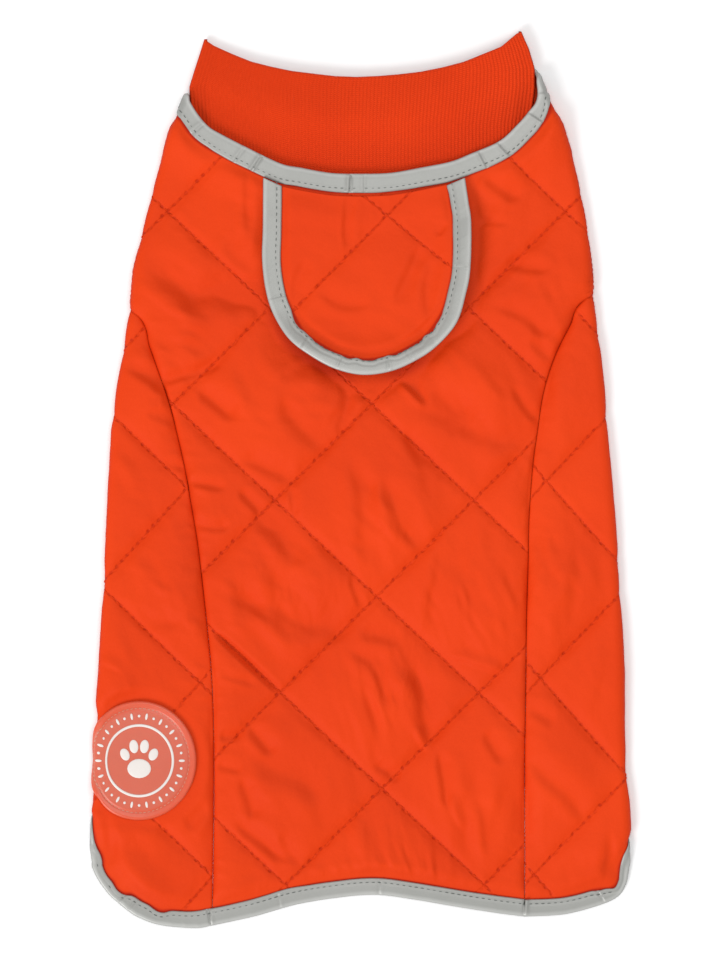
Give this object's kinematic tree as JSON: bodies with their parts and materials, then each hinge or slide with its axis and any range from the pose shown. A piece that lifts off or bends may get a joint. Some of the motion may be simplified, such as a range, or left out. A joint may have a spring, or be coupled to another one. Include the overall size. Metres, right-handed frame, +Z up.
{
  "type": "dog winter coat",
  "caption": "Quilted dog winter coat lying flat, back up: rib-knit collar tube, taped edges, flap at the neck, shaped side panels, belly panel with leg openings, round soft-rubber badge",
  "frame": {"origin": "under the middle of the coat as it lies, on the surface it rests on", "axes": "+Y along the back towards the collar, +Z up out of the back, +X to the right seen from above"},
  "size_m": [0.3131, 0.5184, 0.0159],
  "materials": {
    "shell": "woven polyester shell over light padding, soft sheen",
    "knit": "one-by-one rib knit, matt",
    "tape": "grey reflective binding tape, low satin",
    "rubber": "soft translucent rubber, satin"
  },
  "bodies": {
    "root": {"back_panel": "shell", "side_panel_left": "shell", "side_panel_right": "shell", "belly_panel": "shell", "neck_flap": "shell", "collar": "knit", "neck_binding": "tape", "hem_binding": "tape", "leg_binding_left": "tape", "leg_binding_right": "tape", "flap_binding": "tape", "badge": "rubber"}
  },
  "joints": []
}
